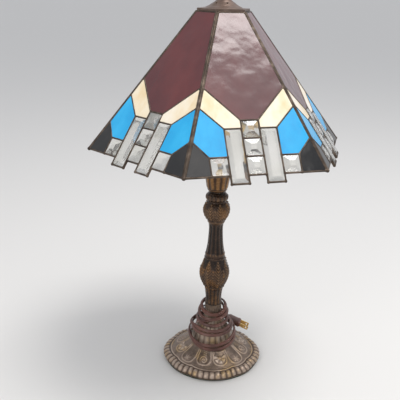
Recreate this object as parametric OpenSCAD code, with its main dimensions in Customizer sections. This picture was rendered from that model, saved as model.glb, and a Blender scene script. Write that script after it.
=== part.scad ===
// Leaded-glass table lamp: a six-sided stained-glass shade on a cast pedestal.
// Millimetres, +Z up. The origin is the centre of the underside, on the lamp's axis,
// and one shade panel faces -Y.

/* [Shade] */
// Radius of the shade's rim, measured to its corners
rim_r = 203; // [195:1:210]
// Radius of the shade's top opening, measured to its corners
top_r = 42; // [40:1:44]
// Height of the shade's rim above the table
rim_z = 385; // [380:1:390]
// Height of the shade's top opening above the table
top_z = 584; // [580:1:586]
// Distance down a panel to the maroon pane's side corners
maroon_side_s = 117; // [110:1:122]
// Distance down a panel to the outer corners of the cream panes
cream_side_s = 146.5; // [140:0.5:150]
// Distance down a panel to the outer corners of the black panes
black_side_s = 194.5; // [190:0.5:198]

/* [Glass and lead] */
// Thickness of the sheet glass
glass_t = 3; // [2.5:0.1:3.5]
// Width of the lead that a pane's edge is held in
lead_w = 1.1; // [1:0.1:1.5]
// Thickness of the lead seams
lead_t = 4.4; // [4:0.1:5]
// Radius of the round seam along each ridge
ridge_seam_r = 1.7; // [1.6:0.1:2.2]
// Pitch of the bevelled squares
square_pitch = 26; // [25:0.1:26.5]
// Width of the long bevels, seam to seam
long_bevel_w = 25; // [24:0.1:26]
// How far the long bevels hang below the rim
bevel_hang = 11.7; // [8:0.1:14]
// Height of a bevelled piece's flat face above the middle of the glass
bevel_rise = 3.4; // [3:0.1:4]

/* [Pedestal] */
// Largest radius of the base
base_r = 83; // [83:1:86]
// Wall thickness of the castings
casting_wall = 4; // [3.5:0.1:4.5]
// Thickness of the felt under the base
felt_t = 2; // [1.5:0.1:2]
// Height of the joint between the base and the column
base_top_z = 104; // [104:1:106]

/* [Light fittings] */
// Height of the two sockets
socket_z = 420; // [415:1:424]
// Outer radius of a socket shell
socket_r = 17; // [16.8:0.1:17.5]
// Radius of a bulb
bulb_r = 24; // [22:0.5:25]
// Distance from the lamp's axis to a bulb's centre
bulb_x = 102; // [100:1:103]
// Outer radius of the threaded riser pipe
riser_r = 4.8; // [4.6:0.1:4.9]

/* [Cord] */
// Width of the flat cord
cord_w = 5.5; // [5:0.1:6]
// Direction that the cord leaves the base in
cord_exit_angle = 75; // [73:1:77]
// Height of the cord's outlet
cord_exit_z = 6.2; // [6:0.1:6.5]

/* [Hidden] */
$fn = 64;
PANELS = 6;
SOCKETS = 2;
PANEL_NODES = [for (kind = ["came_lattice", "maroon_glass", "cream_glass", "blue_glass",
                            "black_glass", "bevel_glass"],
                    k = [1:PANELS]) str(kind, "_", k)];

fit_gap = 0.3;                       // between faces of pieces that turn on each other
run_gap = 0.05;                      // radial clearance of a shaft that turns in its hole

// Shade geometry: each panel is flat, leaning in towards the top.
top_apothem = top_r * cos(30);
rim_apothem = rim_r * cos(30);
lean = atan((rim_apothem - top_apothem) / (top_z - rim_z));
slant = sqrt(pow(rim_apothem - top_apothem, 2) + pow(top_z - rim_z, 2));
side_run = (rim_r - top_r) / 2;
ridge_clear = ridge_seam_r / cos(atan(side_run / slant));

// Half the width of a panel at a distance s down its slope, inside the ridge seams.
function half_w(s) = top_r / 2 + side_run * s / slant - ridge_clear;

// Seam lines shared by the panes of a panel.
square_u = square_pitch / 2;
long_u = square_u + long_bevel_w;
corner_u = long_u + square_pitch;
row_1 = slant - 3 * square_pitch;
row_2 = slant - 2 * square_pitch;
row_3 = slant - square_pitch;
long_top = row_1 + 12;

MAROON = [[half_w(0), 0], [half_w(maroon_side_s), maroon_side_s], [square_u, row_1],
          [-square_u, row_1], [-half_w(maroon_side_s), maroon_side_s], [-half_w(0), 0]];
CREAM = [[half_w(maroon_side_s), maroon_side_s], [half_w(cream_side_s), cream_side_s],
         [long_u, long_top], [square_u, long_top], [square_u, row_1]];
BLUE = [[half_w(cream_side_s), cream_side_s], [half_w(black_side_s), black_side_s],
        [corner_u, row_3], [long_u, row_3], [long_u, long_top]];
BLACK = [[half_w(black_side_s), black_side_s], [half_w(slant), slant],
         [corner_u, slant], [corner_u, row_3]];
CORNER_SQUARE = [[corner_u, row_3], [corner_u, slant], [long_u, slant], [long_u, row_3]];
LONG_BEVEL = [[long_u, long_top], [long_u, slant + bevel_hang],
              [square_u, slant + bevel_hang], [square_u, long_top]];
function centre_square(row) = [[square_u, row], [square_u, row + square_pitch],
                               [-square_u, row + square_pitch], [-square_u, row]];
CENTRE_SQUARES = [for (row = [row_1, row_2, row_3]) centre_square(row)];

// The point where the edges p-q and q-r, each moved inwards by d, meet.
function unit(v) = v / norm(v);
function inner_corner(p, q, r, d) =
    let (a = unit(q - p), b = unit(r - q), na = [-a[1], a[0]], nb = [-b[1], b[0]])
    q + d * (na + nb) / (1 + na * nb);
// A convex outline, listed clockwise as seen with s pointing down, shrunk by d.
function shrink(pts, d) = let (n = len(pts))
    [for (i = [0:n - 1]) inner_corner(pts[(i + n - 1) % n], pts[i], pts[(i + 1) % n], d)];
// From (u, s) on the panel to (x, y) in its drawing plane.
function drawn(pts) = [for (p = pts) [p[0], -p[1]]];

// Places a drawing on panel k, face outwards.
module on_panel(k)
    rotate([0, 0, 60 * (k - 1)])
        translate([0, -top_apothem, top_z])
            rotate([90 - lean, 0, 0])
                children();

module on_both_sides() {
    children();
    mirror([1, 0, 0]) children();
}

module pane(pts)
    linear_extrude(glass_t, center = true)
        polygon(drawn(shrink(pts, lead_w)));

// A thick clear piece with a ground bevel round its face; pts is a rectangle.
module bevelled_piece(pts, bevel) {
    outer = drawn(shrink(pts, lead_w));
    face = drawn(shrink(pts, lead_w + bevel));
    points = concat([for (p = outer) [p[0], p[1], -glass_t / 2]],
                    [for (p = outer) [p[0], p[1], glass_t / 3]],
                    [for (p = face) [p[0], p[1], bevel_rise]]);
    walls = [for (ring = [0, 4], i = [0:3]) let (j = (i + 1) % 4)
                [ring + i, ring + j, ring + j + 4, ring + i + 4]];
    polyhedron(points, concat([[3, 2, 1, 0], [8, 9, 10, 11]], walls));
}

// Lead lattice of one panel: the seams round every pane and round the hanging bevels.
module came_lattice(k) color("dimgray") on_panel(k) {
    edge = slant + lead_w;
    outline = [[half_w(0), 0], [half_w(edge), edge], [long_u, edge],
               [long_u, slant + bevel_hang], [square_u, slant + bevel_hang], [square_u, edge]];
    mirrored = [for (i = [len(outline) - 1:-1:0]) [-outline[i][0], outline[i][1]]];
    linear_extrude(lead_t, center = true) difference() {
        polygon(drawn(concat(outline, mirrored)));
        polygon(drawn(shrink(MAROON, lead_w)));
        for (pts = CENTRE_SQUARES) polygon(drawn(shrink(pts, lead_w)));
        for (pts = [CREAM, BLUE, BLACK, CORNER_SQUARE, LONG_BEVEL])
            on_both_sides() polygon(drawn(shrink(pts, lead_w)));
    }
}

module maroon_glass(k) color("maroon") on_panel(k) pane(MAROON);
module cream_glass(k) color("cornsilk") on_panel(k) on_both_sides() pane(CREAM);
module blue_glass(k) color("deepskyblue") on_panel(k) on_both_sides() pane(BLUE);
module black_glass(k) color("darkslategray") on_panel(k) on_both_sides() pane(BLACK);

module bevel_glass(k) color("lightgray") on_panel(k) {
    for (pts = CENTRE_SQUARES) bevelled_piece(pts, 8);
    on_both_sides() {
        bevelled_piece(CORNER_SQUARE, 8);
        bevelled_piece(LONG_BEVEL, 5.5);
    }
}

// Round solder seams that join the panels along the six ridges.
module ridge_seams() color("dimgray") {
    run = rim_r - top_r;
    length = sqrt(run * run + pow(top_z - rim_z, 2));
    for (k = [0:PANELS - 1]) rotate([0, 0, 60 * k])
        translate([rim_r, 0, rim_z])
            rotate([0, -atan(run / (top_z - rim_z)), 0])
                cylinder(h = length, r = ridge_seam_r);
}

// A closed casting with an even wall: points (r, z) from the bottom up, then the inside.
function casting(pts, wall, bore) = let (n = len(pts))
    concat(pts, [[bore, pts[n - 1][1]], [bore, pts[n - 1][1] - wall]],
           [for (i = [n - 2:-1:1]) if (pts[i][1] < pts[n - 1][1] - wall && pts[i][1] > pts[0][1] + wall)
               [max(bore + 0.5, pts[i][0] - wall), pts[i][1]]],
           [[bore, pts[0][1] + wall], [bore, pts[0][1]]]);

pipe_bore = riser_r + 0.2;

// Vase cap: a hexagonal flange under a spun dome, with vent holes and a hub for the riser.
cap_z = top_z + 1.8;
cap_hub_z = cap_z + 11.5;
cap_top_z = cap_z + 20;
module vase_cap() color("sienna") difference() {
    union() {
        translate([0, 0, cap_z]) cylinder(h = 3.4, r = top_r - 1, $fn = 6);
        rotate_extrude() polygon([[0, cap_z], [30, cap_z], [29.5, cap_z + 3.4], [26.9, cap_z + 5],
            [22.4, cap_z + 7], [18.8, cap_z + 9.4], [14.4, cap_z + 12.2], [10.6, cap_z + 15.4],
            [9.4, cap_z + 17.6], [9.2, cap_top_z], [0, cap_top_z]]);
    }
    rotate_extrude() polygon([[0, cap_z - 1], [27.5, cap_z - 1], [27, cap_z + 2], [20, cap_z + 5.6],
        [15.5, cap_z + 9], [13, cap_hub_z], [0, cap_hub_z]]);
    translate([0, 0, cap_z]) cylinder(h = 30, r = riser_r + fit_gap);
    for (k = [0:PANELS - 1]) rotate([0, 0, 60 * k + 30]) translate([10, 0, cap_z + 6])
        rotate([0, 52, 0]) cylinder(h = 20, r = 1.6);
}

riser_top = cap_top_z + 16;
finial_z = cap_top_z + fit_gap;
module finial() color("peru") difference() {
    rotate_extrude() polygon([[0, finial_z], [8.4, finial_z], [8.8, finial_z + 1.6], [6.6, finial_z + 3],
        [5.8, finial_z + 6], [6.4, finial_z + 9], [9.6, finial_z + 12.5], [11.6, finial_z + 17],
        [11.2, finial_z + 22], [8.2, finial_z + 27], [5, finial_z + 30], [3.4, finial_z + 33],
        [4.2, finial_z + 35.5], [3.4, finial_z + 38], [0, finial_z + 39.4]]);
    translate([0, 0, finial_z - 1]) cylinder(h = riser_top - finial_z + 1.4, r = riser_r + run_gap);
}

// Threaded pipe from the nut in the base to the finial. It carries the wires.
riser_bottom = 9;
module riser_pipe() color("goldenrod") difference() {
    translate([0, 0, riser_bottom]) cylinder(h = riser_top - riser_bottom, r = riser_r);
    translate([0, 0, riser_bottom - 1]) cylinder(h = riser_top - riser_bottom - 5, r = 3.2);
}

// Nut and check ring that the vase cap's hub rests on.
module shade_seat_nut() color("goldenrod") difference() {
    union() {
        translate([0, 0, cap_hub_z - fit_gap - 1.4]) cylinder(h = 1.4, r = 10);
        translate([0, 0, cap_hub_z - fit_gap - 6.4]) cylinder(h = 5, r = 8, $fn = 6);
    }
    translate([0, 0, cap_z - 20]) cylinder(h = 60, r = riser_r);
}

// Turned body on the riser with a nipple for each socket.
cluster_r = 15;
socket_x = 19;
nipple_r = 5;
module light_cluster() color("goldenrod") difference() {
    union() {
        translate([0, 0, socket_z]) rotate_extrude() polygon([[0, -20], [7, -20], [8, -15], [13, -12],
            [cluster_r, -8], [cluster_r, 8], [13, 12], [8, 15], [7, 20], [0, 20]]);
        for (k = [0:SOCKETS - 1]) rotate([0, 0, 180 * k]) translate([cluster_r - 4, 0, socket_z])
            rotate([0, 90, 0]) cylinder(h = socket_x + 5 - cluster_r + 4, r = nipple_r);
    }
    translate([0, 0, socket_z - 30]) cylinder(h = 60, r = riser_r);
}

// Moves a drawing that points along +Z to socket k, pointing outwards from the axis.
module at_socket(k) rotate([0, 0, 180 * (k - 1)]) translate([0, 0, socket_z]) rotate([0, 90, 0]) children();

socket_mouth = 62;
shell_wall = 1.4;
knob_x = 42;
knob_shaft_r = 1.5;
module socket_shell(k) color("gold") difference() {
    at_socket(k) rotate_extrude() polygon([[nipple_r, socket_x], [9, socket_x], [13, socket_x + 3],
        [socket_r, socket_x + 9], [socket_r, socket_mouth], [socket_r - shell_wall, socket_mouth],
        [socket_r - shell_wall, socket_x + 10], [12, socket_x + 5], [nipple_r, socket_x + 5]]);
    rotate([0, 0, 180 * (k - 1)]) translate([knob_x, 0, socket_z - socket_r - 2])
        cylinder(h = socket_r, r = knob_shaft_r + run_gap);
}

// Insulating liners with the screw shells that grip the bulbs.
bulb_cap_r = 13;
module socket_liners() color("ivory") for (k = [1:SOCKETS]) at_socket(k) difference() {
    translate([0, 0, socket_x + 11]) cylinder(h = socket_mouth - socket_x - 12, r = socket_r - shell_wall - 0.1);
    translate([0, 0, socket_x + 17]) cylinder(h = 60, r = bulb_cap_r + 0.1);
}

// Ribbed key of the rotary switch, under the socket, on its shaft.
module switch_knob(k) color("black") rotate([0, 0, 180 * (k - 1)]) translate([knob_x, 0, 0]) {
    top = socket_z - socket_r;
    translate([0, 0, top - 8]) cylinder(h = 9.1, r = knob_shaft_r);
    translate([0, 0, top - 19]) cylinder(h = 11.5, r = 5.2);
    for (a = [0:30:330]) rotate([0, 0, a]) translate([5, 0, top - 18]) cylinder(h = 9, r = 0.8);
}

module bulb_glass() color("white") for (k = [1:SOCKETS]) at_socket(k) rotate_extrude()
    polygon(concat([[0, socket_mouth + 0.5], [13, socket_mouth + 0.5], [14, socket_mouth + 7],
                    [17.5, socket_mouth + 17]],
                   [for (a = [-42:12:90]) [bulb_r * cos(a), bulb_x + bulb_r * sin(a)]]));

module bulb_caps() color("silver") for (k = [1:SOCKETS]) at_socket(k) union() {
    translate([0, 0, socket_mouth - 21]) cylinder(h = 21.5, r = bulb_cap_r);
    translate([0, 0, socket_mouth - 26]) cylinder(h = 5, r1 = 4, r2 = 9);
}

// Pedestal profiles, radius and height, from the joint upwards.
lower_top_z = 192;
upper_top_z = 304;
module neck_cup() color("darkgoldenrod") rotate_extrude() polygon(casting(
    [[13.6, upper_top_z], [15, upper_top_z + 4], [16.4, upper_top_z + 8], [17.4, upper_top_z + 14],
     [19, upper_top_z + 24], [20.4, upper_top_z + 34], [19, upper_top_z + 39], [10, upper_top_z + 42]],
    casting_wall, pipe_bore));

module upper_column() color("saddlebrown") rotate_extrude() polygon(casting(
    [[16.8, lower_top_z], [15.4, 200], [13.5, 211], [12.5, 220], [11.5, 239], [12.2, 248], [13.6, 253],
     [15, 258], [19, 265], [21.2, 274], [19.6, 282], [15.4, 288], [14.9, 290], [17.4, 293], [18.2, 296],
     [17.2, 299.5], [13.6, upper_top_z]],
    casting_wall, pipe_bore));

module lower_column() color("saddlebrown") rotate_extrude() polygon(casting(
    [[14.4, base_top_z], [13.1, 114], [14.1, 125], [15.6, 134], [18.6, 142], [21.9, 149], [24, 157],
     [24.4, 163.6], [23.2, 170], [20.2, 178], [18.4, 185], [16.8, lower_top_z]],
    casting_wall, pipe_bore));

// Hollow cast base: a spreading foot, a sloping plate and a rolled edge.
web_z = 20;
module base_casting() color("gray") difference() {
    union() {
        rotate_extrude() polygon([
            [base_r - 6, felt_t], [base_r - 2, felt_t], [base_r, 5.5], [base_r - 0.6, 8.5], [base_r - 4, 12],
            [base_r - 9, 13.4], [base_r - 12, 13], [base_r - 15, 14.6], [60, 18.6], [52, 23], [44, 28],
            [38.5, 32.4], [35, 37], [32.6, 43], [30, 51], [26.6, 58.5], [22, 66], [17.6, 74], [14.6, 82],
            [13.6, 90], [13.8, 96], [14.4, base_top_z],
            [pipe_bore, base_top_z], [pipe_bore, base_top_z - casting_wall], [9.4, 98], [9.4, 86],
            [12.8, 76], [17, 66], [21.6, 57.4], [25.6, 49], [28.2, 42], [30, 36.4], [33, 31], [37.6, 26.6],
            [43, 22.4], [50, 18.4], [59, 13.6], [base_r - 16, 10.4], [base_r - 9, 8.6], [base_r - 6, 6]]);
        translate([0, 0, web_z]) cylinder(h = casting_wall, r = 44);
    }
    translate([0, 0, web_z - 1]) cylinder(h = casting_wall + 2, r = pipe_bore);
    rotate([0, 0, cord_exit_angle]) translate([base_r - 12, 0, cord_exit_z]) rotate([0, 90, 0])
        cylinder(h = 20, r = bushing_r);
}

module base_nut_and_washer() color("silver") {
    difference() {
        translate([0, 0, web_z - 1.6]) cylinder(h = 1.6, r = 13);
        translate([0, 0, web_z - 3]) cylinder(h = 6, r = pipe_bore);
    }
    difference() {
        translate([0, 0, web_z - 6.8]) cylinder(h = 5.2, r = 8, $fn = 6);
        translate([0, 0, web_z - 8]) cylinder(h = 8, r = riser_r);
    }
}

module felt_pad() color("darkgreen") cylinder(h = felt_t, r = base_r - 3);

// Tapered bushing that guides the cord out through the base's edge.
bushing_r = 3.1;
bushing_out = 18;
module cord_bushing() color("black") rotate([0, 0, cord_exit_angle]) translate([base_r, 0, cord_exit_z])
    rotate([0, 90, 0]) difference() {
        rotate_extrude() polygon([[0, -10], [bushing_r, -10], [bushing_r, 0.4], [4.2, 0.4], [4.2, 2.4],
            [3.5, 3.4], [3.3, bushing_out], [0, bushing_out]]);
        translate([0, 0, -11]) cylinder(h = bushing_out + 12, r = cord_w / 2);
    }

// Route of the free cord from the bushing, along the table and over the base's edge, to
// the cord that is wound round the foot of the pedestal.
CORD_ROUTE = [
    [26.1, 97.6, 6.2], [28.4, 106, 5.2], [28.2, 114.5, 3.8], [23, 121.5, 3.1], [14.5, 122.8, 3.1],
    [7, 118, 3.1], [3, 110.3, 3.1], [0.5, 103.5, 3.1], [-1.7, 98, 3.2], [-4.8, 92.4, 5.6],
    [-8.3, 86.6, 10.2], [-12.6, 79.5, 14.6], [-17.7, 70.8, 17], [-22.9, 61.4, 20],
    [-27.9, 51.4, 24.6], [-32, 41, 30], [-35.6, 29.9, 36.6], [-38.2, 16.5, 43.6]
];
CORD_RINGS_PER_STEP = 3;

// A smooth curve through the route's points.
function spline_point(a, b, c, d, t) =
    0.5 * (2 * b + t * (c - a) + t * t * (2 * a - 5 * b + 4 * c - d) + t * t * t * (3 * b - a - 3 * c + d));
function smooth(pts, steps) = let (n = len(pts)) concat(
    [for (i = [0:n - 2], j = [0:steps - 1]) spline_point(
        pts[max(i - 1, 0)], pts[i], pts[i + 1], pts[min(i + 2, n - 1)], j / steps)],
    [pts[n - 1]]);

// A round tube of eight sides swept along a path.
module tube_along(path, r) {
    n = len(path);
    sides = 8;
    points = [for (i = [0:n - 1])
        let (t = unit(path[min(i + 1, n - 1)] - path[max(i - 1, 0)]),
             side = unit(cross(t, [0, 0, 1])), over = cross(side, t))
        for (k = [0:sides - 1]) let (a = 360 * k / sides + 22.5)
            path[i] + r * (cos(a) * side + sin(a) * over)];
    walls = [for (i = [0:n - 2], k = [0:sides - 1]) let (m = (k + 1) % sides)
        [i * sides + k, (i + 1) * sides + k, (i + 1) * sides + m, i * sides + m]];
    ends = [[for (k = [0:sides - 1]) k], [for (k = [sides - 1:-1:0]) (n - 1) * sides + k]];
    polyhedron(points, concat(walls, ends));
}

module cord_tail() color("rosybrown") tube_along(smooth(CORD_ROUTE, CORD_RINGS_PER_STEP), cord_w / 2);

// Outer shape of the cord wound round the foot of the pedestal.
module cord_coil() color("rosybrown") rotate_extrude() polygon([
    [39.4, 32.8], [46, 29.4], [47.5, 34], [46, 52], [42.5, 64], [34, 74], [30.5, 84], [27.5, 94], [25, 104],
    [24, 110], [14.9, 110], [14.9, 102], [14.3, 96], [14.3, 90.2], [15.2, 82.2], [18.2, 74.4], [22.7, 66.4],
    [27.3, 58.9], [30.7, 51.4], [33.4, 43.3], [35.9, 37.2]]);

// Flat two-blade plug, tucked over the outer turns of the wound cord.
plug_l = 26;
plug_w = 20;
plug_t = 13;
blade_l = 16;
blade_root = 5;
blade_y = 6.35;
module at_plug() translate([37.6, 34.2, 50.7]) rotate([0, 0, -26]) rotate([0, 20, 0]) children();
module blades(t, w, from, to) for (side = [-1, 1])
    translate([from, side * blade_y - t / 2, -w / 2]) cube([to - from, t, w]);
module plug_body() color("saddlebrown") at_plug() difference() {
    translate([0, -plug_w / 2, -plug_t / 2]) cube([plug_l, plug_w, plug_t]);
    blades(1.5, 6.4, plug_l - blade_root, plug_l + 1);
}
module plug_blades() color("gold") at_plug() difference() {
    blades(1.5, 6.4, plug_l - blade_root, plug_l + blade_l);
    translate([plug_l + blade_l - 4, -plug_w, 0]) rotate([-90, 0, 0]) cylinder(h = 2 * plug_w, r = 1.6);
}

for (k = [1:PANELS]) {
    came_lattice(k);
    maroon_glass(k);
    cream_glass(k);
    blue_glass(k);
    black_glass(k);
    bevel_glass(k);
}
ridge_seams();
vase_cap();
finial();
riser_pipe();
shade_seat_nut();
light_cluster();
for (k = [1:SOCKETS]) {
    socket_shell(k);
    switch_knob(k);
}
socket_liners();
bulb_glass();
bulb_caps();
neck_cup();
upper_column();
lower_column();
base_casting();
base_nut_and_washer();
felt_pad();
cord_bushing();
cord_tail();
cord_coil();
plug_body();
plug_blades();
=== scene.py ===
import math

import bmesh
import bpy
import numpy as np
from mathutils import Matrix, Vector
from mathutils.geometry import convex_hull_2d


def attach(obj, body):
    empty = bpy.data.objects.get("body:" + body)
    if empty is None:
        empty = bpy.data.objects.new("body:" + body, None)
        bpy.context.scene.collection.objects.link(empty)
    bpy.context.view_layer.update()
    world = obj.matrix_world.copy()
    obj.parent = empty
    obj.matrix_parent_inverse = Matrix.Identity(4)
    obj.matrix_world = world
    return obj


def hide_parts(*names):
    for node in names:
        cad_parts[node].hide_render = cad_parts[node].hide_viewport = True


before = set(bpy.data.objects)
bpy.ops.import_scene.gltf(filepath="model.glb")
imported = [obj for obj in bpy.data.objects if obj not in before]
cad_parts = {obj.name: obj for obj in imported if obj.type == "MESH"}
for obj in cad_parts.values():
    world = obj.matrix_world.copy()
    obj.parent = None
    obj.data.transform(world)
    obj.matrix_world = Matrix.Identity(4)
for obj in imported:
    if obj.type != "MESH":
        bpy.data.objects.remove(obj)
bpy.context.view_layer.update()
mm = 0.001

# ---------------------------------------------------------------- Camera
# It stands in front of the lamp, at about the height of its finial, and looks a little
# down at it, as a person does at a lamp on a table.
eye = Vector((-0.2948, -0.9300, 0.6255))
yaw, pitch, roll = (math.radians(a) for a in (15.97, -19.04, 1.53))
forward = Vector((math.sin(yaw) * math.cos(pitch), math.cos(yaw) * math.cos(pitch), math.sin(pitch)))
level = Vector((math.cos(yaw), -math.sin(yaw), 0))
upright = level.cross(forward)
across = level * math.cos(roll) + upright * math.sin(roll)
above = upright * math.cos(roll) - level * math.sin(roll)
camera = bpy.data.objects.new("camera", bpy.data.cameras.new("camera"))
camera.data.sensor_width = 36
camera.data.lens = 57.0
camera.matrix_world = Matrix.Translation(eye) @ Matrix((across, above, -forward)).transposed().to_4x4()
bpy.context.scene.collection.objects.link(camera)
bpy.context.scene.camera = camera

# ---------------------------------------------------------------- Power cord
# A flat brown two-conductor lamp cord, 1.8 m long. It comes out at the back of the base,
# turns on the table, climbs over the base's edge and is wound round the foot of the
# pedestal: two slack loops low down, then closer turns that rise up the column.
cord_width = 5.5 * mm
cord_thickness = 2.8 * mm
cord_route = [(26.1, 97.6, 6.2), (28.4, 106, 5.2), (28.2, 114.5, 3.8), (23, 121.5, 3.1),
              (14.5, 122.8, 3.1), (7, 118, 3.1), (3, 110.3, 3.1), (0.5, 103.5, 3.1), (-1.7, 98, 3.2),
              (-4.8, 92.4, 5.6), (-8.3, 86.6, 10.2), (-12.6, 79.5, 14.6), (-17.7, 70.8, 17),
              (-22.9, 61.4, 20), (-27.9, 51.4, 24.6), (-32, 41, 30), (-35.6, 29.9, 36.6),
              (-38.2, 16.5, 43.6)]
# Radius, height and tilt of each turn, and the direction in which it is highest.
cord_turns = [(38, 46, 12, 74), (40.5, 50.5, 12, 74), (35, 61.5, 5, 80), (32.5, 66.8, 4, 85),
              (27.4, 74, 5, 110), (24, 79, 6, 340), (19.2, 88, 5, 165), (20, 99, 8, 75),
              (23.4, 92, 7, 50), (26.5, 81, 6, 30)]
turns_wound = 8.64
first_turn_angle = math.radians(165)
steps_per_turn = 36
slip = 0.15                     # how far a tilted turn slides to its low side, for each mm of tilt
slack_bulge = 5                 # how far one turn stands out where it hangs loose
slack_turn = 3
slack_spread = 0.06
point_gap = 2.6
# How far along the cord, from its ends, it turns between lying flat and standing on its edge.
edge_places = (8, 24, 52, 78, 140, 180)
flat_again, flat_to_plug = 75, 45
plug_lead = [(14, 20.5, 89), (10, 29, 85.5), (10.5, 37.5, 80), (16, 44, 73), (24.5, 45, 64.5),
             (31.5, 40.5, 56.5), (37.6, 34.2, 50.7)]
plug_place = (Matrix.Translation(Vector(plug_lead[-1]) * mm)
              @ Matrix.Rotation(math.radians(-26), 4, "Z") @ Matrix.Rotation(math.radians(20), 4, "Y"))


def smooth_line(points, steps):
    """Points on a smooth curve through the given ones."""
    points = [Vector(p) for p in points]
    last = len(points) - 1
    line = []
    for i in range(last):
        a, b, c, d = points[max(i - 1, 0)], points[i], points[i + 1], points[min(i + 2, last)]
        for t in (j / steps for j in range(steps)):
            line.append(0.5 * (2 * b + t * (c - a) + t * t * (2 * a - 5 * b + 4 * c - d)
                               + t ** 3 * (3 * b - a - 3 * c + d)))
    return line + [points[last]]


def evenly(points, gap):
    """The same curve, with a point every gap along it."""
    points = np.array(points)
    along = np.concatenate([[0], np.cumsum(np.linalg.norm(np.diff(points, axis=0), axis=1))])
    places = np.linspace(0, along[-1], max(2, round(along[-1] / gap)))
    return np.stack([np.interp(places, along, points[:, k]) for k in range(points.shape[1])], 1)


def wound_cord():
    turns = [(r, z, tilt * math.cos(math.radians(d)), tilt * math.sin(math.radians(d)))
             for r, z, tilt, d in cord_turns]
    shapes = smooth_line(turns, steps_per_turn)
    line = []
    for i in range(int(turns_wound * steps_per_turn) + 1):
        angle = first_turn_angle + math.tau * i / steps_per_turn
        radius, height, tilt_x, tilt_y = shapes[i]
        x, y = math.cos(angle), math.sin(angle)
        slack = slack_bulge * math.exp(-((i / steps_per_turn - slack_turn) / slack_spread) ** 2)
        line.append(((radius + slack) * x - slip * tilt_x, (radius + slack) * y - slip * tilt_y,
                     height + tilt_x * x + tilt_y * y))
    return line


cord_line = evenly(smooth_line(cord_route + wound_cord() + plug_lead, 4), point_gap) * mm


def flat_sides(line):
    """The direction that the cord is thin in: up where it lies flat, outwards where it is on edge."""
    along = np.concatenate([[0], np.cumsum(np.linalg.norm(np.diff(line, axis=0), axis=1))]) / mm
    total = along[-1]
    places = [*edge_places, total - flat_again, total - flat_to_plug]
    on_edge = np.interp(along, places, [0, 1, 1, 0, 0, 1, 1, 0])
    thin = np.zeros_like(line)
    for i, (x, y, z) in enumerate(line):
        outwards = Vector((x, y, 0.35 * max(0, z - 10 * mm))).normalized()
        thin[i] = outwards * on_edge[i] + Vector((0, 0, 1 - on_edge[i]))
    for _ in range(3):
        thin[1:-1] = (thin[:-2] + 2 * thin[1:-1] + thin[2:]) / 4
    return thin


def sweep(name, line, thin, outline):
    """A closed solid of one outline, (across, through), swept along a line of points."""
    shape = bmesh.new()
    rings = []
    for i, spot in enumerate(line):
        ahead = Vector(line[min(i + 1, len(line) - 1)] - line[max(i - 1, 0)]).normalized()
        through = Vector(thin[i])
        through = (through - ahead * through.dot(ahead)).normalized()
        wide = ahead.cross(through)
        rings.append([shape.verts.new(Vector(spot) + wide * a + through * b) for a, b in outline])
    sides = len(outline)
    for near, far in zip(rings, rings[1:]):
        for k in range(sides):
            shape.faces.new((near[k], near[(k + 1) % sides], far[(k + 1) % sides], far[k]))
    shape.faces.new(rings[0][::-1])
    shape.faces.new(rings[-1])
    bmesh.ops.recalc_face_normals(shape, faces=shape.faces)
    return finished(name, shape)


def finished(name, shape):
    """A smooth-shaded object from a bmesh."""
    mesh = bpy.data.meshes.new(name)
    shape.to_mesh(mesh)
    shape.free()
    piece = bpy.data.objects.new(name, mesh)
    bpy.context.scene.collection.objects.link(piece)
    mesh.shade_smooth()
    return piece


def two_conductors():
    """The cord's cross-section: two round conductors side by side with a groove between them."""
    half = cord_thickness / 2
    centre = cord_width / 2 - half
    lobe = [(centre + half * math.cos(a), half * math.sin(a))
            for a in (math.radians(d) for d in (-112, -75, -38, 0, 38, 75, 112))]
    groove = (0, 0.5 * half)
    other = [(-a, -b) for a, b in lobe]
    return lobe + [groove] + other + [(0, -groove[1])]


def material(name, colour, roughness, metallic=0.0):
    """A new material, with its nodes, its links and its shader."""
    new = bpy.data.materials.new(name)
    new.use_nodes = True
    nodes, links = new.node_tree.nodes, new.node_tree.links
    shader = nodes["Principled BSDF"]
    shader.inputs["Base Color"].default_value = (*colour, 1)
    shader.inputs["Roughness"].default_value = roughness
    shader.inputs["Metallic"].default_value = metallic
    return new, nodes, links, shader


def noise(nodes, links, scale, detail=3, stretch=(1, 1, 1), roughness=0.5):
    """A noise pattern fixed to the piece, and its Fac output."""
    place = nodes.new("ShaderNodeTexCoord")
    mapping = nodes.new("ShaderNodeMapping")
    mapping.inputs["Scale"].default_value = stretch
    texture = nodes.new("ShaderNodeTexNoise")
    texture.inputs["Scale"].default_value = scale
    texture.inputs["Detail"].default_value = detail
    texture.inputs["Roughness"].default_value = roughness
    links.new(place.outputs["Object"], mapping.inputs["Vector"])
    links.new(mapping.outputs["Vector"], texture.inputs["Vector"])
    return texture.outputs["Fac"]


def ramp(nodes, links, value, stops):
    """Colours along a value; stops are (place, (r, g, b))."""
    node = nodes.new("ShaderNodeValToRGB")
    links.new(value, node.inputs["Fac"])
    marks = node.color_ramp.elements
    while len(marks) < len(stops):
        marks.new(0.5)
    for mark, (place, colour) in zip(marks, stops):
        mark.position = place
        mark.color = (*colour, 1)
    return node.outputs["Color"]


def spread(nodes, links, value, low, high):
    """The value, from 0 to 1, mapped to the range low to high."""
    node = nodes.new("ShaderNodeMapRange")
    node.inputs["To Min"].default_value = low
    node.inputs["To Max"].default_value = high
    links.new(value, node.inputs["Value"])
    return node.outputs["Result"]


def bump(nodes, links, shader, height, depth, strength=1.0):
    """Small relief, depth metres deep, on the surface."""
    node = nodes.new("ShaderNodeBump")
    node.inputs["Strength"].default_value = strength
    node.inputs["Distance"].default_value = depth
    links.new(height, node.inputs["Height"])
    previous = shader.inputs["Normal"].links
    if previous:
        links.new(previous[0].from_socket, node.inputs["Normal"])
    links.new(node.outputs["Normal"], shader.inputs["Normal"])


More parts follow.
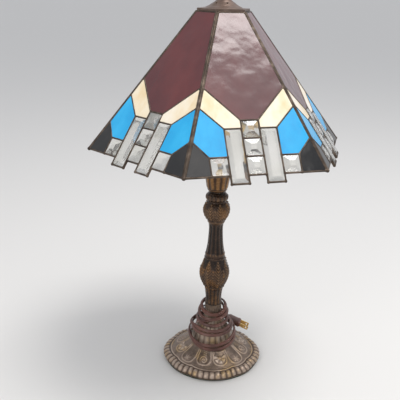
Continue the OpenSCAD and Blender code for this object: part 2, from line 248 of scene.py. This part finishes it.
cord_vinyl, nodes, links, shader = material("cord_vinyl", (0.11, 0.045, 0.033), 0.30)
worn = noise(nodes, links, 60, 4)
links.new(ramp(nodes, links, worn, [(0.3, (0.065, 0.024, 0.017)), (0.7, (0.17, 0.070, 0.050))]),
          shader.inputs["Base Color"])
links.new(spread(nodes, links, noise(nodes, links, 220), 0.22, 0.40), shader.inputs["Roughness"])
bump(nodes, links, shader, noise(nodes, links, 900, 2), 0.00008)

cord = sweep("power_cord", cord_line, flat_sides(cord_line), two_conductors())
cord.data.materials.append(cord_vinyl)
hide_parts("cord_tail", "cord_coil")
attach(cord, "stand")

# ---------------------------------------------------------------- Plug
# A flat moulded plug of the cord's own brown vinyl, with finger ribs across its grip and a
# short tapered strain relief, moulded round two folded brass blades.
# Place along the plug, half width and half thickness.
plug_stations = [(-9, 3.0, 1.9), (-8.6, 3.4, 2.2), (-4, 4.0, 2.8), (-1, 4.6, 3.2), (1, 6.6, 4.4),
                 (3.5, 8.8, 5.6), (6, 9.6, 6.0), (24, 9.7, 6.2), (25.4, 9.3, 5.9), (26, 8.4, 5.2),
                 (26.05, 4, 3)]
grip_start = 6
plug_ribs = range(8, 21, 2)
rib_profile = [(-0.9, 9.6, 6.1), (-0.5, 9.1, 5.6), (0.5, 9.1, 5.6), (0.9, 9.6, 6.1)]


def rounded_ring(shape, x, half_w, half_t, corners=32, squareness=3.2):
    """A ring of points round a rounded rectangle that stands across the plug's length."""
    ring = []
    for k in range(corners):
        a = math.tau * k / corners
        y = half_w * math.copysign(abs(math.cos(a)) ** (2 / squareness), math.cos(a))
        z = half_t * math.copysign(abs(math.sin(a)) ** (2 / squareness), math.sin(a))
        ring.append(shape.verts.new(Vector((x, y, z)) * mm))
    return ring


stations = [s for s in plug_stations if s[0] <= grip_start]
for x in plug_ribs:
    stations += [(x + dx, half_w, half_t) for dx, half_w, half_t in rib_profile]
stations += [s for s in plug_stations if s[0] > grip_start]
shape = bmesh.new()
rings = [rounded_ring(shape, *station) for station in stations]
for near, far in zip(rings, rings[1:]):
    for k in range(len(near)):
        shape.faces.new((near[k], near[k - 1], far[k - 1], far[k]))
shape.faces.new(rings[0])
shape.faces.new(rings[-1][::-1])
bmesh.ops.recalc_face_normals(shape, faces=shape.faces)
plug = finished("plug", shape)
plug.data.transform(plug_place)
plug.data.materials.append(cord_vinyl)
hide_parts("plug_body")
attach(plug, "stand")

blade_brass, nodes, links, shader = material("blade_brass", (0.86, 0.62, 0.26), 0.25, 1.0)
rubbed = noise(nodes, links, 300, stretch=(1, 8, 1))
links.new(spread(nodes, links, rubbed, 0.18, 0.38), shader.inputs["Roughness"])
plug_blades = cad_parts["plug_blades"]
plug_blades.data.materials.clear()
plug_blades.data.materials.append(blade_brass)

# ---------------------------------------------------------------- Base
# A hollow casting of spelter with an antique bronze finish: twelve tongue-shaped panels round
# a reeded foot, a wavy moulding and a gadrooned edge. The high places are rubbed bright.
base_line = [(77, 2.1), (80, 2), (81.8, 2.6), (82.6, 4), (83, 5.6), (82.8, 7.4), (81.8, 9.4),
             (80, 11.2), (78, 12.4), (75, 13.2), (72, 13.2), (69.5, 13.6), (66, 15.4), (60, 18.6),
             (52, 23), (44, 28), (38.5, 32.4), (35, 37), (32.6, 43), (30, 51), (26.6, 58.5), (22, 66),
             (17.6, 74), (14.6, 82), (13.6, 90), (13.8, 96), (14.4, 104)]
base_inside = [(5, 104), (5, 100), (9.4, 97), (9.4, 86), (12.8, 76), (17, 66), (21.6, 57), (25.6, 49),
               (28.2, 42), (30, 36.4), (33, 31), (37.6, 26.6), (43, 22.4), (50, 18.4), (59, 13.6),
               (67, 10.4), (74, 8.6), (77, 6)]
plate_top_z = 34                # the plate and its edge lie below this height, the foot above it
panel_half_width = 0.225        # of a tongue-shaped panel, as a share of the radius
wave_radius = 67.6
lip_groove_z = 5.2


def turned(name, line, inside, gap, steps):
    """A hollow form spun about the lamp's axis from its outer line and its inside, (radius, height)."""
    outer = evenly([tuple(p)[:2] for p in smooth_line([(r, z, 0) for r, z in line], 6)], gap)
    loop = [(r, z) for r, z in outer] + list(inside)
    mesh = bpy.data.meshes.new(name)
    mesh.from_pydata([(r * mm, 0, z * mm) for r, z in loop],
                     [(i, (i + 1) % len(loop)) for i in range(len(loop))], [])
    piece = bpy.data.objects.new(name, mesh)
    bpy.context.scene.collection.objects.link(piece)
    bpy.ops.object.select_all(action="DESELECT")
    piece.select_set(True)
    bpy.context.view_layer.objects.active = piece
    bpy.ops.object.mode_set(mode="EDIT")
    bpy.ops.mesh.select_all(action="SELECT")
    bpy.ops.mesh.spin(steps=steps, angle=math.tau, center=(0, 0, 0), axis=(0, 0, 1))
    bpy.ops.mesh.select_all(action="SELECT")
    bpy.ops.mesh.remove_doubles(threshold=0.00001)
    bpy.ops.mesh.normals_make_consistent(inside=False)
    bpy.ops.object.mode_set(mode="OBJECT")
    mesh.shade_smooth()
    return piece, outer


def carve(piece, outer, height, outward=None):
    """Raises the outer surface by height(angle, radius, z), in mm, and keeps it as an attribute."""
    mesh = piece.data
    spots = np.zeros(len(mesh.vertices) * 3)
    mesh.vertices.foreach_get("co", spots)
    spots = spots.reshape(-1, 3) / mm
    radius = np.hypot(spots[:, 0], spots[:, 1])
    angle = np.arctan2(spots[:, 1], spots[:, 0])
    run = np.gradient(outer, axis=0)
    run /= np.linalg.norm(run, axis=1)[:, None]
    away = np.hypot(radius[:, None] - outer[None, :, 0], spots[:, 2][:, None] - outer[None, :, 1])
    nearest = away.argmin(1)
    skin = away.min(1) < 0.02
    raised = height(angle, radius, spots[:, 2]) * skin
    spots[:, 0] += raised * run[nearest, 1] * np.cos(angle)
    spots[:, 1] += raised * run[nearest, 1] * np.sin(angle)
    spots[:, 2] -= raised * run[nearest, 0]
    if outward is not None:
        move = outward(angle, radius, spots[:, 2]) * skin
        spots[:, 0] += move * np.cos(angle)
        spots[:, 1] += move * np.sin(angle)
    mesh.vertices.foreach_set("co", (spots * mm).ravel())
    height_seen = np.where(skin, (raised - raised[skin].mean()) / (2 * raised[skin].std()), 0)
    relief = mesh.attributes.new("relief", "FLOAT", "POINT")
    relief.data.foreach_set("value", height_seen.astype(np.float32))
    mesh.update()


def step_up(x, low, high):
    """Rises smoothly from 0 at low to 1 at high."""
    t = np.clip((x - low) / (high - low), 0, 1)
    return t * t * (3 - 2 * t)


def ridge(x, width):
    """A soft ridge at x = 0."""
    return np.exp(-(x / width) ** 2)


first_cartouche = math.radians(29)
panels_round = 12
gadroons = 52


def lobe(angle):
    """How far along its lobe an angle is, from 0 to 1, and whether the lobe is a narrow one."""
    quarter = np.degrees(angle - first_cartouche)
    local = (quarter + 45) % 90 - 45
    narrow = np.abs(local) < 15
    return np.where(narrow, (local + 15) / 30, ((local - 15) % 90) / 60), narrow


def base_relief(angle, radius, z):
    """Panels with a bloom, a scroll or a fan in them, the wavy moulding, the edge and the reeds."""
    turn = angle - first_cartouche
    sector = np.round(turn / (math.tau / panels_round))
    local = turn - sector * math.tau / panels_round
    kind = np.mod(sector, 3)
    x = radius * local
    on_plate = step_up(radius, 38, 41) * (z < plate_top_z)
    end = np.where(kind == 0, 65.5, 62.5)
    sideways = np.abs(x) / (radius * panel_half_width)
    beyond = np.clip((radius - (end - 15)) / 15, 0, 2)
    rim = ((sideways ** 2.6 + beyond ** 2.6) ** (1 / 2.6) - 1) * radius * panel_half_width
    inside = step_up(-rim, 0.3, 1.5)
    panels = 0.9 * ridge(rim, 0.85) - 0.12 * inside * (kind == 0)

    bloom_r, bloom_a = np.hypot(x, radius - 59), np.arctan2(x, radius - 59)
    bloom = 1.5 * (0.6 + 0.4 * np.cos(6 * bloom_a)) * ridge(bloom_r, 4.2) * (kind == 0)
    curl_r, curl_a = np.hypot(x, radius - 54.5), np.arctan2(x, radius - 54.5)
    curl = np.clip(np.cos(curl_a - math.tau * curl_r / 3.6), 0, 1)
    scroll = 1.1 * curl * step_up(7.2 - curl_r, 0, 1.2)
    twist = np.clip(np.cos(math.tau * (radius + 0.6 * x) / 3.2), 0, 1)
    rope = 0.8 * twist * (np.abs(x) < 2.8) * (radius < 47.5)
    fan_r, fan_a = np.hypot(x, radius - 50), np.arctan2(x, radius - 50)
    blades = np.abs(np.cos(3.5 * fan_a)) ** 0.7 * np.clip(fan_r / 7, 0, 1)
    fan = 1.3 * blades * step_up(10.5 - fan_r, 0, 1.5)
    fan = fan * (np.abs(fan_a) < 1.9) + 0.9 * ridge(fan_r, 1.6)
    panels += inside * (bloom + (scroll + rope) * (kind == 1) + fan * (kind == 2))

    along, narrow = lobe(angle)
    wave = wave_radius + np.where(narrow, 2.0, 3.2) * np.sin(math.pi * along) ** 0.6
    moulding = 1.1 * ridge(radius - wave, 0.8) - 0.8 * ridge(radius - wave - 1.9, 0.8)
    edge = step_up(radius, wave + 2.6, wave + 4.4) * step_up(z, 5.4, 6.8)
    edging = edge * (1.7 * np.abs(np.sin(gadroons / 2 * turn)) ** 0.55 - 0.9)
    lip_groove = 0.9 * ridge(z - lip_groove_z, 0.8) * (radius > 76)
    plate = on_plate * panels * (radius < wave - 0.5) + moulding * (radius > 60) + edging - lip_groove
    reeds = (np.abs(np.sin(10 * turn)) ** 0.6 - 0.3) * step_up(z, 33, 38) * step_up(100 - z, 0, 6)
    return (z < plate_top_z) * plate + reeds * np.clip(radius / 26, 0.5, 1)


def base_scallop(angle, radius, z):
    """How far the edge swings out and in along its lobes; the lip under it swings half as far."""
    along, narrow = lobe(angle)
    bulge = np.where(narrow, 2.8, 4.6) * np.sin(math.pi * along) ** 0.6
    share = 0.5 + 0.5 * step_up(z, 4, 6.5)
    return share * (bulge - 3.2) * step_up(radius, 66, 78) * (z < 16)


def bronze(name, deep, plain, bright, gilt, roughness, contrast=0.34):
    """Cast metal with a brown patina: dark in hollows, rubbed bright on relief, gilt in patches."""
    new, nodes, links, shader = material(name, plain, roughness, 0.5)
    relief = nodes.new("ShaderNodeAttribute")
    relief.attribute_name = "relief"
    worn = nodes.new("ShaderNodeMath")
    worn.operation = "MULTIPLY_ADD"
    worn.inputs[1].default_value = contrast
    links.new(relief.outputs["Fac"], worn.inputs[0])
    links.new(spread(nodes, links, noise(nodes, links, 120, 5, roughness=0.65), 0.12, 0.62), worn.inputs[2])
    patina = ramp(nodes, links, worn.outputs["Value"], [(0.08, deep), (0.42, plain), (0.92, bright)])
    wash = ramp(nodes, links, noise(nodes, links, 45, 3), [(0.50, (0, 0, 0)), (0.64, (0.8, 0.8, 0.8))])
    mix = nodes.new("ShaderNodeMix")
    mix.data_type = "RGBA"
    links.new(wash, mix.inputs["Factor"])
    links.new(patina, mix.inputs["A"])
    links.new(ramp(nodes, links, worn.outputs["Value"], [(0.15, deep), (0.75, gilt)]), mix.inputs["B"])
    links.new(mix.outputs["Result"], shader.inputs["Base Color"])
    links.new(spread(nodes, links, noise(nodes, links, 260, 4), roughness - 0.12, roughness + 0.14),
              shader.inputs["Roughness"])
    bump(nodes, links, shader, noise(nodes, links, 1100, 4), 0.00018)
    bump(nodes, links, shader, noise(nodes, links, 320, 3), 0.00025)
    return new


base_bronze = bronze("base_bronze", (0.085, 0.058, 0.043), (0.285, 0.21, 0.16), (0.56, 0.45, 0.36),
                     (0.46, 0.30, 0.13), 0.33, 0.33)
base, base_skin = turned("base", base_line, base_inside, 1.0, 480)
carve(base, base_skin, base_relief, base_scallop)
base.data.materials.append(base_bronze)
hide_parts("base_casting")
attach(base, "stand")

# ---------------------------------------------------------------- Lower column
# The next casting, screwed up against the base: a reeded neck that swells into a knop
# wrapped in rising acanthus leaves.
lower_line = [(14.4, 104), (13.1, 114), (14.1, 125), (15.6, 134), (18.6, 142), (21.9, 149), (24, 157),
              (24.4, 163.6), (23.2, 170), (20.2, 178), (18.4, 185), (16.8, 192)]
lower_inside = [(5, 192), (5, 188), (13, 184), (18, 168), (19, 158), (12, 140), (9.5, 120), (9, 108),
                (5, 107.5), (5, 104)]
leaves_round = 8
between_leaves = math.pi / leaves_round


def leaves(angle, z, count, foot, tip, width, turn=0.0):
    """A ring of pointed leaves that stand from foot to tip, with a midrib and slanting veins."""
    pitch = math.tau / count
    local = (angle - turn + pitch / 2) % pitch - pitch / 2
    up = np.clip((z - foot) / (tip - foot), 0, 1)
    teeth = 1 + 0.10 * np.cos(math.tau * z / 5.2)
    half = width * teeth * np.clip(np.sin(math.pi * up ** 0.72), 0, 1) ** 0.55 + 0.001
    u = local * 20
    body = np.clip(1 - (u / half) ** 2, 0, 1) * (up > 0) * (up < 1)
    veins = 0.85 * np.cos(math.tau * (z - 1.4 * np.abs(u)) / 5.0)
    return body ** 0.45 * (0.45 + 0.4 * up + veins * body ** 0.5) + 0.7 * ridge(u, 0.55) * body


def lower_relief(angle, radius, z):
    """Reeds on the neck, and two rings of leaves round the knop between two collars."""
    reeds = (0.8 * np.abs(np.sin(7 * angle)) ** 0.6 - 0.3) * step_up(138 - z, 0, 6) * step_up(z, 104, 107)
    front = leaves(angle, z, leaves_round, 138, 188, 7.0)
    between = 0.7 * leaves(angle, z, leaves_round, 134, 174, 5.5, between_leaves)
    collar = 0.7 * ridge(z - 136, 1.3) + 0.6 * ridge(z - 190, 1.2)
    return reeds + np.maximum(front, between) + collar - 0.2


# Dark bronze patina, with its colours darkened further as painted shade: this stands in for dark
# surroundings that the column's metal reflects.
dark_bronze = bronze("dark_bronze", (0.010, 0.006, 0.004), (0.055, 0.030, 0.018), (0.22, 0.125, 0.062),
                     (0.28, 0.13, 0.04), 0.27, 0.40)
lower_column, lower_skin = turned("lower_column_casting", lower_line, lower_inside, 0.9, 240)
carve(lower_column, lower_skin, lower_relief)
lower_column.data.materials.append(dark_bronze)
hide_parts("lower_column")
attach(lower_column, "stand")

# ---------------------------------------------------------------- Upper column
# A slender fluted shaft with a collar, a leaf-wrapped bulb and a ring of gadroons at the top.
upper_line = [(16.8, 192), (15.4, 200), (13.5, 211), (12.5, 220), (11.5, 239), (12.2, 248), (13.6, 253),
              (15, 258), (19, 265), (21.2, 274), (19.6, 282), (15.4, 288), (14.9, 290), (17.4, 293),
              (18.2, 296), (17.2, 299.5), (13.6, 304)]
upper_inside = [(5, 304), (5, 300), (9, 298), (15.5, 278), (14, 262), (8, 245), (8.5, 220), (11, 200),
                (11, 197), (5, 196), (5, 192)]


def upper_relief(angle, radius, z):
    """Flutes on the waist, leaves round the bulb, gadroons on the ring and beads at the foot."""
    flutes = -0.9 * np.abs(np.cos(6 * angle)) ** 1.5 * step_up(z, 194, 200) * step_up(251 - z, 0, 5)
    collar = 0.8 * ridge(z - 253.5, 1.4)
    bulb = leaves(angle, z, leaves_round, 257, 288, 6.4)
    bulb += 0.6 * leaves(angle, z, leaves_round, 255, 280, 5.0, between_leaves)
    ring = (np.abs(np.sin(8 * angle)) ** 0.6 - 0.4) * step_up(z, 290.5, 292.5) * step_up(301 - z, 0, 2)
    beads = np.abs(np.sin(10 * angle)) ** 0.7 * ridge(z - 197, 1.6)
    return flutes + collar + np.minimum(bulb, 2.2) + ring + beads


upper_column, upper_skin = turned("upper_column_casting", upper_line, upper_inside, 0.9, 240)
carve(upper_column, upper_skin, upper_relief)
upper_column.data.materials.append(dark_bronze)
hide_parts("upper_column")
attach(upper_column, "stand")

# ---------------------------------------------------------------- Neck cup
# A small cast cup in a paler, golden bronze, which hides the top of the column and opens
# towards the light cluster.
cup_line = [(13.6, 304), (15, 308), (16.4, 312), (17.4, 318), (19, 328), (20.4, 338), (19, 343), (10, 346)]
cup_inside = [(5, 346), (5, 342), (14, 338), (15, 326), (12, 310), (5, 308), (5, 304)]


def cup_relief(angle, radius, z):
    """Twelve upright petals between two fine rings."""
    petals = 0.9 * np.abs(np.sin(6 * angle)) * step_up(z, 310, 313) * step_up(340 - z, 0, 4)
    return petals + 0.7 * ridge(z - 309, 1.0) + 0.6 * ridge(z - 341, 1.2)


golden_bronze = bronze("golden_bronze", (0.012, 0.006, 0.003), (0.085, 0.037, 0.012), (0.28, 0.14, 0.045),
                       (0.34, 0.17, 0.05), 0.26, 0.45)
neck_cup, cup_skin = turned("neck_cup_casting", cup_line, cup_inside, 0.9, 200)
carve(neck_cup, cup_skin, cup_relief)
neck_cup.data.materials.append(golden_bronze)
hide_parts("neck_cup")
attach(neck_cup, "stand")

# ---------------------------------------------------------------- Light fittings
# What the shade hides: a threaded brass riser, a turned cluster with two pressed-brass
# turn-knob sockets, and two soft-white bulbs. The base's nut, felt and cord bushing are
# finished here too.


def coat(node, finish):
    """Gives a carried-over node its finish."""
    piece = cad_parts[node]
    piece.data.materials.clear()
    piece.data.materials.append(finish)


brass, nodes, links, shader = material("brass", (0.62, 0.42, 0.16), 0.3, 1.0)
tarnish = [(0.3, (0.42, 0.27, 0.10)), (0.7, (0.72, 0.50, 0.20))]
links.new(ramp(nodes, links, noise(nodes, links, 50, 4), tarnish), shader.inputs["Base Color"])
turning_marks = noise(nodes, links, 300, stretch=(1, 1, 6))
links.new(spread(nodes, links, turning_marks, 0.22, 0.42), shader.inputs["Roughness"])
bulb_white, nodes, links, shader = material("bulb_white", (0.86, 0.86, 0.83), 0.22)
shader.inputs["Coat Weight"].default_value = 0.4
milky = [(0.3, (0.82, 0.81, 0.77)), (0.7, (0.90, 0.90, 0.87))]
links.new(ramp(nodes, links, noise(nodes, links, 40), milky), shader.inputs["Base Color"])
cap_metal, nodes, links, shader = material("bulb_cap_metal", (0.62, 0.62, 0.62), 0.35, 1.0)
links.new(spread(nodes, links, noise(nodes, links, 300), 0.25, 0.5), shader.inputs["Roughness"])
liner_board, nodes, links, shader = material("liner_board", (0.62, 0.55, 0.42), 0.8)
fibres = [(0.3, (0.50, 0.43, 0.31)), (0.7, (0.68, 0.61, 0.47))]
links.new(ramp(nodes, links, noise(nodes, links, 500), fibres), shader.inputs["Base Color"])
zinc, nodes, links, shader = material("zinc_steel", (0.5, 0.5, 0.48), 0.4, 1.0)
links.new(spread(nodes, links, noise(nodes, links, 200), 0.3, 0.55), shader.inputs["Roughness"])
felt, nodes, links, shader = material("felt", (0.018, 0.045, 0.025), 0.95)
nap = [(0.3, (0.010, 0.028, 0.015)), (0.7, (0.03, 0.065, 0.038))]
links.new(ramp(nodes, links, noise(nodes, links, 1500, 4), nap), shader.inputs["Base Color"])
bump(nodes, links, shader, noise(nodes, links, 2500, 2), 0.0003)
black_phenolic, nodes, links, shader = material("black_phenolic", (0.018, 0.017, 0.016), 0.3)
links.new(spread(nodes, links, noise(nodes, links, 400), 0.22, 0.4), shader.inputs["Roughness"])

for node in ("riser_pipe", "shade_seat_nut", "light_cluster", "socket_shell_1", "socket_shell_2"):
    coat(node, brass)
for node in ("switch_knob_1", "switch_knob_2", "cord_bushing"):
    coat(node, black_phenolic)
coat("bulb_glass", bulb_white)
coat("bulb_caps", cap_metal)
coat("socket_liners", liner_board)
coat("base_nut_and_washer", zinc)
coat("felt_pad", felt)

# ---------------------------------------------------------------- Shade glass
# Six flat panels of hand-rolled sheet glass. Each has a large maroon pane, cream and blue
# opalescent panes below it, rippled black ones at the rim's corners, and thick clear bevels.
panels_of_glass = 6


def sheet_glass(name, colours, streak, stretch, ripple, ripple_scale, roughness=0.07, index=1.52):
    """Rolled art glass: streaks of colour along the sheet and a rippled, fire-polished face."""
    new, nodes, links, shader = material(name, colours[0], roughness)
    shader.inputs["IOR"].default_value = index
    swirl = noise(nodes, links, streak, 4, stretch, 0.6)
    stops = [(0.28 + 0.44 * i / (len(colours) - 1), colour) for i, colour in enumerate(colours)]
    links.new(ramp(nodes, links, swirl, stops), shader.inputs["Base Color"])
    bump(nodes, links, shader, noise(nodes, links, ripple_scale, 2, roughness=0.35), ripple)
    return new


maroon_glass = sheet_glass("maroon_glass",
                           [(0.045, 0.004, 0.006), (0.075, 0.007, 0.009), (0.120, 0.014, 0.014)],
                           9, (1, 1, 0.45), 0.0012, 36, 0.16, 1.65)
cream_glass = sheet_glass("cream_glass", [(0.74, 0.55, 0.29), (0.82, 0.72, 0.54), (0.86, 0.81, 0.72)],
                          16, (1.6, 1.6, 0.5), 0.0004, 40, 0.12)
blue_glass = sheet_glass("blue_glass", [(0.004, 0.28, 0.61), (0.008, 0.36, 0.70), (0.025, 0.43, 0.77)],
                         14, (1.8, 1.8, 0.4), 0.0003, 40, 0.10)
black_glass = sheet_glass("black_glass",
                          [(0.005, 0.005, 0.006), (0.010, 0.010, 0.010), (0.022, 0.019, 0.018)],
                          20, (1, 1, 1), 0.0005, 45, 0.10)

clear_glass, nodes, links, shader = material("bevelled_clear_glass", (0.86, 0.85, 0.81), 0.03)
shader.inputs["Transmission Weight"].default_value = 0.92
shader.inputs["IOR"].default_value = 1.52
tints = [(0.3, (0.80, 0.79, 0.74)), (0.7, (0.90, 0.89, 0.86))]
links.new(ramp(nodes, links, noise(nodes, links, 30), tints), shader.inputs["Base Color"])
links.new(spread(nodes, links, noise(nodes, links, 90, 4), 0.01, 0.09), shader.inputs["Roughness"])
bump(nodes, links, shader, noise(nodes, links, 120, 2), 0.00012)

for panel in range(1, panels_of_glass + 1):
    coat(f"maroon_glass_{panel}", maroon_glass)
    coat(f"cream_glass_{panel}", cream_glass)
    coat(f"blue_glass_{panel}", blue_glass)
    coat(f"black_glass_{panel}", black_glass)
    coat(f"bevel_glass_{panel}", clear_glass)

# ---------------------------------------------------------------- Solder seams
# Every pane's edge is wrapped in copper foil, and a rounded bead of solder, darkened with
# patina, runs along each joint on both faces, with a blob where joints meet.
rim_r, rim_z = 203, 385
top_r, top_z = 42, 584
pane_gap = 1.1                  # from a pane's edge to the middle of its seam
seam_half_width = 1.4
seam_half_height = 2.35
blob_radius = 2.2
blob_stretch = 1.12             # through the glass, so that a blob stands proud of its beads
ridge_radius = 2.35
ridge_taper = 0.8               # towards the vase cap
ridge_foot_radius = 3.0
solder_voxel = 0.85 * mm
lean = math.atan2((rim_r - top_r) * math.cos(math.pi / 6), top_z - rim_z)
on_panel = (Matrix.Translation(Vector((0, -top_r * math.cos(math.pi / 6), top_z)) * mm)
            @ Matrix.Rotation(math.pi / 2 - lean, 4, "X"))


def pane_outlines(node):
    """The outline of each pane in a node, flat on its panel, in metres."""
    shape = bmesh.new()
    shape.from_mesh(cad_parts[node].data)
    bmesh.ops.remove_doubles(shape, verts=shape.verts, dist=1e-6)
    shape.transform(on_panel.inverted())
    left = set(shape.verts)
    outlines = []
    while left:
        front = [left.pop()]
        pane = []
        while front:
            corner = front.pop()
            pane.append(corner.co.xy)
            near = {edge.other_vert(corner) for edge in corner.link_edges} & left
            left -= near
            front += near
        outlines.append([pane[i] for i in convex_hull_2d(pane)])
    shape.free()
    return outlines


def grown(outline, gap):
    """A convex outline, listed counterclockwise, with each side moved outwards by a gap."""
    outline = [p for p, q in zip(outline, outline[1:] + outline[:1]) if (p - q).length > 0.5 * mm]
    corners = []
    for before, here, after in zip(outline[-1:] + outline[:-1], outline, outline[1:] + outline[:1]):
        a, b = (here - before).normalized(), (after - here).normalized()
        normals = Vector((a.y, -a.x)), Vector((b.y, -b.x))
        corners.append(here + gap * (normals[0] + normals[1]) / (1 + normals[0].dot(normals[1])))
    return corners


def bead(shape, start, end, half_width, half_height, end_scale=1.0):
    """A straight bead of solder between two points that lie in the plane z = 0."""
    run = end - start
    turn = Matrix.Rotation(math.atan2(run.y, run.x), 4, "Z") @ Matrix.Rotation(math.pi / 2, 4, "Y")
    size = Matrix.Diagonal((half_height, half_width, 1, 1))
    place = Matrix.Translation(((start + end) / 2).to_3d()) @ turn @ size
    bmesh.ops.create_cone(shape, cap_ends=True, segments=16, radius1=1, radius2=end_scale,
                          depth=run.length, matrix=place)


def blob(shape, spot, radius, stretch=1.0):
    """A drop of solder where beads meet."""
    place = Matrix.Translation(spot.to_3d()) @ Matrix.Diagonal((radius, radius, radius * stretch, 1))
    bmesh.ops.create_icosphere(shape, subdivisions=2, radius=1, matrix=place)


def fused(name, shape, place):
    """The beads run together into one smooth skin, as solder does."""
    piece = finished(name, shape)
    piece.data.transform(place)
    bpy.ops.object.select_all(action="DESELECT")
    piece.select_set(True)
    bpy.context.view_layer.objects.active = piece
    remesh = piece.modifiers.new("fuse", "REMESH")
    remesh.mode = "VOXEL"
    remesh.voxel_size = solder_voxel
    remesh.use_smooth_shade = True
    bpy.ops.object.modifier_apply(modifier=remesh.name)
    smooth = piece.modifiers.new("flow", "SMOOTH")
    smooth.iterations = 2
    bpy.ops.object.modifier_apply(modifier=smooth.name)
    return piece


lead_came, nodes, links, shader = material("lead_came", (0.11, 0.085, 0.065), 0.42, 0.75)
links.new(ramp(nodes, links, noise(nodes, links, 90, 4),
               [(0.3, (0.040, 0.029, 0.022)), (0.55, (0.095, 0.070, 0.052)), (0.75, (0.20, 0.155, 0.12))]),
          shader.inputs["Base Color"])
links.new(spread(nodes, links, noise(nodes, links, 240), 0.3, 0.55), shader.inputs["Roughness"])
bump(nodes, links, shader, noise(nodes, links, 350, 3), 0.0003)

lattice = bmesh.new()
for glass in ("maroon", "cream", "blue", "black", "bevel"):
    for outline in pane_outlines(f"{glass}_glass_1"):
        corners = grown(outline, pane_gap * mm)
        for start, end in zip(corners, corners[1:] + corners[:1]):
            bead(lattice, start, end, seam_half_width * mm, seam_half_height * mm)
            blob(lattice, start, blob_radius * mm, blob_stretch)
seams = fused("seams_1", lattice, on_panel)
for panel in range(1, panels_of_glass + 1):
    piece = seams
    if panel > 1:
        piece = bpy.data.objects.new(f"seams_{panel}", seams.data.copy())
        bpy.context.scene.collection.objects.link(piece)
        piece.data.transform(Matrix.Rotation(math.tau * (panel - 1) / panels_of_glass, 4, "Z"))
    piece.data.materials.clear()
    piece.data.materials.append(lead_came)
    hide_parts(f"came_lattice_{panel}")
    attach(piece, "shade")

ridge_line = Vector((top_r - rim_r, 0, top_z - rim_z)) * mm
ridge_bead = bmesh.new()
bead(ridge_bead, Vector((0, 0)), Vector((ridge_line.length, 0)), ridge_radius * mm, ridge_radius * mm,
     ridge_taper)
blob(ridge_bead, Vector((0, 0)), ridge_foot_radius * mm)
ridge_place = (Matrix.Translation(Vector((rim_r, 0, rim_z)) * mm)
               @ Matrix.Rotation(-math.atan2(ridge_line.z, ridge_line.x), 4, "Y"))
one_ridge = fused("ridge", ridge_bead, ridge_place)
all_ridges = bmesh.new()
for ridge_number in range(panels_of_glass):
    part = one_ridge.data.copy()
    part.transform(Matrix.Rotation(math.tau * ridge_number / panels_of_glass, 4, "Z"))
    all_ridges.from_mesh(part)
    bpy.data.meshes.remove(part)
bpy.data.objects.remove(one_ridge)
ridges = finished("ridge_solder", all_ridges)
ridges.data.materials.append(lead_came)
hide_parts("ridge_seams")
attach(ridges, "shade")

# ---------------------------------------------------------------- Vase cap and finial
# A spun and soldered cap closes the shade's top, and a turned finial screws down on it.
cap_bronze = bronze("cap_bronze", (0.045, 0.032, 0.026), (0.17, 0.115, 0.090), (0.34, 0.26, 0.22),
                    (0.26, 0.16, 0.09), 0.38)
coat("vase_cap", cap_bronze)
coat("finial", cap_bronze)

# ---------------------------------------------------------------- Floor and light
# A plain pale floor and soft studio light.
bpy.ops.object.select_all(action="DESELECT")
bpy.ops.mesh.primitive_plane_add(size=600, location=(0, 0, 0))
floor = bpy.context.object
floor.name = "floor"
floor_paint, nodes, links, shader = material("floor_paint", (0.68, 0.67, 0.65), 0.7)
floor.data.materials.append(floor_paint)

bpy.context.scene.view_settings.view_transform = "Standard"
world = bpy.data.worlds.new("studio")
bpy.context.scene.world = world
world.use_nodes = True
world.node_tree.nodes["Background"].inputs["Color"].default_value = (0.93, 0.95, 1.0, 1)
world.node_tree.nodes["Background"].inputs["Strength"].default_value = 0.75


def soft_light(name, place, aim, size, power, colour):
    """A square soft box at a place, aimed at a point."""
    lamp = bpy.data.objects.new(name, bpy.data.lights.new(name, "AREA"))
    lamp.data.size = size
    lamp.data.energy = power
    lamp.data.color = colour
    lamp.location = place
    lamp.rotation_euler = (Vector(aim) - Vector(place)).to_track_quat("-Z", "Y").to_euler()
    bpy.context.scene.collection.objects.link(lamp)


soft_light("ceiling", (0.62, -0.38, 2.4), (0.62, -0.38, 0), 1.15, 38, (1.0, 0.98, 0.96))
soft_light("ceiling_front", (0.75, -1.45, 2.4), (0.75, -1.45, 0), 0.85, 3, (1.0, 0.97, 0.94))
soft_light("side", (-1.5, -1.2, 1.5), (0, 0, 0.3), 1.0, 9, (1.0, 0.96, 0.92))
